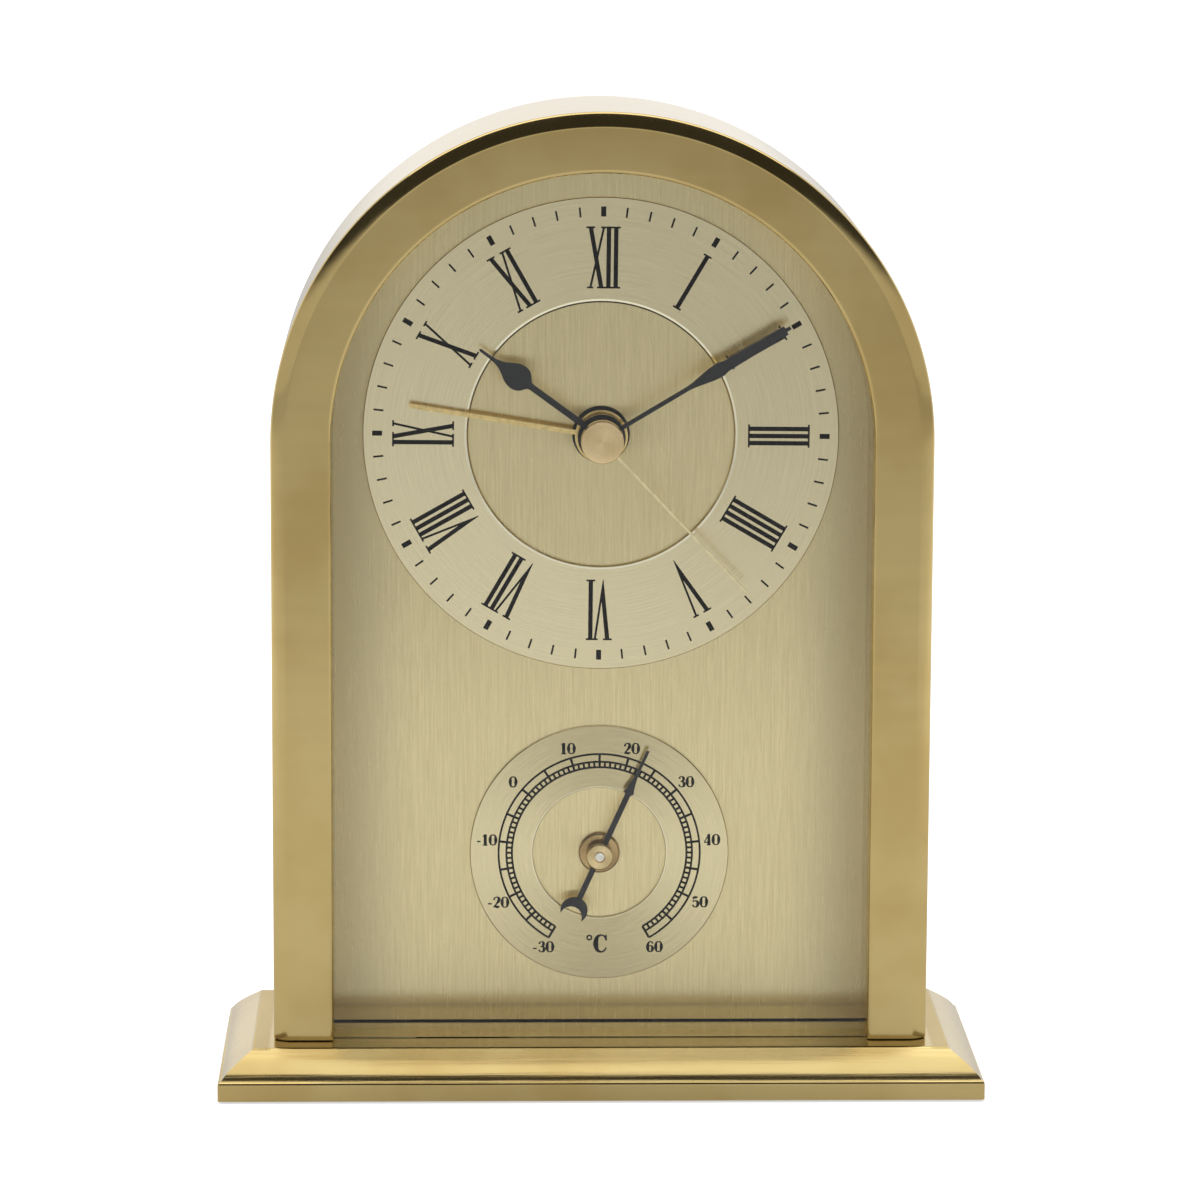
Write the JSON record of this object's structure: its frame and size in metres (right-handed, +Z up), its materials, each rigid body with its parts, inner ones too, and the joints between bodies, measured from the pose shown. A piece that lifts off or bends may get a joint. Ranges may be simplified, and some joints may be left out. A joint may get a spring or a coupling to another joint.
{
  "type": "mantel clock",
  "caption": "Arch-topped brass mantel alarm clock with a Roman chapter ring, sweep hands and a dial thermometer, on a bevelled plinth, with a quartz movement behind the dial.",
  "frame": {"origin": "centre of the felt's underside, on the surface the clock stands on", "axes": "+Z up, front of the dial towards -Y, +X to the right as seen from the front"},
  "size_m": [0.13, 0.052, 0.1668],
  "materials": {
    "polished_brass": "polished",
    "brushed_brass": "brushed",
    "glass": "clear",
    "black_hand": "satin black",
    "gold_hand": "polished",
    "steel": "satin",
    "black_plastic": "fine grain",
    "ivory_plastic": "satin",
    "felt": "felt",
    "copper": "enamelled wire",
    "board": "laminate",
    "battery_wrap": "printed film"
  },
  "bodies": {
    "case": {"base_plinth": "polished_brass", "arch_case": "polished_brass", "thermometer_bush": "polished_brass", "dial_panel": "brushed_brass", "chapter_ring": "brushed_brass", "thermometer_ring": "brushed_brass", "panel_pillars": "brushed_brass", "bimetal_coil": "brushed_brass", "front_glass": "glass", "base_screws": "steel", "back_cover_screws": "steel", "stud_nuts": "steel", "movement_screws": "steel", "stator": "steel", "coil_core": "steel", "battery_contact_positive": "steel", "battery_contact_negative": "steel", "thermometer_bracket": "steel", "timing_crystal": "steel", "back_cover": "black_plastic", "movement_front_shell": "black_plastic", "movement_back_shell": "black_plastic", "buzzer": "black_plastic", "driver_chip": "black_plastic", "train_plate": "ivory_plastic", "coil_bobbin": "ivory_plastic", "base_felt": "felt", "coil_winding": "copper", "circuit_board": "board"},
    "seconds": {"second_wheel": "ivory_plastic", "second_hand": "gold_hand", "second_hand_cap": "polished_brass"},
    "third": {"third_wheel": "ivory_plastic"},
    "centre": {"centre_wheel": "ivory_plastic", "clutch_spring": "steel"},
    "intermediate": {"intermediate_wheel": "ivory_plastic"},
    "rotor": {"rotor": "steel"},
    "minutes": {"minute_pipe": "ivory_plastic", "minute_hand": "black_hand", "clutch_collar": "brushed_brass"},
    "minute_work": {"minute_wheel": "steel", "time_set_knob": "black_plastic"},
    "hours": {"hour_wheel": "ivory_plastic", "hour_hand": "black_hand"},
    "alarm": {"alarm_wheel": "ivory_plastic", "alarm_hand": "gold_hand"},
    "alarm_setting": {"alarm_stem": "steel", "alarm_set_knob": "black_plastic"},
    "pointer": {"thermometer_pointer": "black_hand", "thermometer_cap": "polished_brass", "thermometer_arbor": "steel"},
    "switch": {"alarm_switch": "ivory_plastic"},
    "cell": {"battery": "battery_wrap"}
  },
  "joints": [
    {"name": "second_hand_turn", "type": "hinge", "parent": "case", "child": "seconds", "pos_m": [0, 0, 0.111], "axis": [0, 1, 0], "continuous": true},
    {"name": "third_wheel_turn", "type": "hinge", "parent": "case", "child": "third", "pos_m": [-0.0102, 0, 0.111], "axis": [0, 1, 0], "continuous": true},
    {"name": "centre_wheel_turn", "type": "hinge", "parent": "case", "child": "centre", "pos_m": [0, 0, 0.111], "axis": [0, 1, 0], "continuous": true},
    {"name": "intermediate_wheel_turn", "type": "hinge", "parent": "case", "child": "intermediate", "pos_m": [0, 0, 0.1212], "axis": [0, 1, 0], "continuous": true},
    {"name": "rotor_turn", "type": "hinge", "parent": "case", "child": "rotor", "pos_m": [0.0047, 0, 0.12291], "axis": [0, 1, 0], "continuous": true},
    {"name": "minute_hand_turn", "type": "hinge", "parent": "case", "child": "minutes", "pos_m": [0, 0, 0.111], "axis": [0, 1, 0], "continuous": true},
    {"name": "time_setting_turn", "type": "hinge", "parent": "case", "child": "minute_work", "pos_m": [0.00764, 0, 0.10336], "axis": [0, 1, 0], "continuous": true},
    {"name": "hour_hand_turn", "type": "hinge", "parent": "case", "child": "hours", "pos_m": [0, 0, 0.111], "axis": [0, 1, 0], "continuous": true},
    {"name": "alarm_hand_turn", "type": "hinge", "parent": "case", "child": "alarm", "pos_m": [0, 0, 0.111], "axis": [0, 1, 0], "continuous": true},
    {"name": "alarm_setting_turn", "type": "hinge", "parent": "case", "child": "alarm_setting", "pos_m": [-0.00654, 0, 0.10094], "axis": [0, 1, 0], "continuous": true},
    {"name": "thermometer_pointer_turn", "type": "hinge", "parent": "case", "child": "pointer", "pos_m": [0, 0, 0.0382], "axis": [0, 1, 0], "range_deg": [-174.33, 125.67], "deforming": ["bimetal_coil"]},
    {"name": "alarm_switch_slide", "type": "slide", "parent": "case", "child": "switch", "axis": [1, 0, 0], "range_m": [0, 0.004]},
    {"name": "battery_lift", "type": "slide", "parent": "case", "child": "cell", "axis": [0, 1, 0], "range_m": [0, 0.03]}
  ],
  "couplings": [
    {"joint": "third_wheel_turn", "follows": "second_hand_turn", "ratio": -0.13333},
    {"joint": "centre_wheel_turn", "follows": "second_hand_turn", "ratio": 0.016667},
    {"joint": "intermediate_wheel_turn", "follows": "second_hand_turn", "ratio": -7.5},
    {"joint": "rotor_turn", "follows": "second_hand_turn", "ratio": 30},
    {"joint": "time_setting_turn", "follows": "minute_hand_turn", "ratio": -0.33333},
    {"joint": "hour_hand_turn", "follows": "minute_hand_turn", "ratio": 0.083333},
    {"joint": "alarm_setting_turn", "follows": "alarm_hand_turn", "ratio": -2}
  ]
}
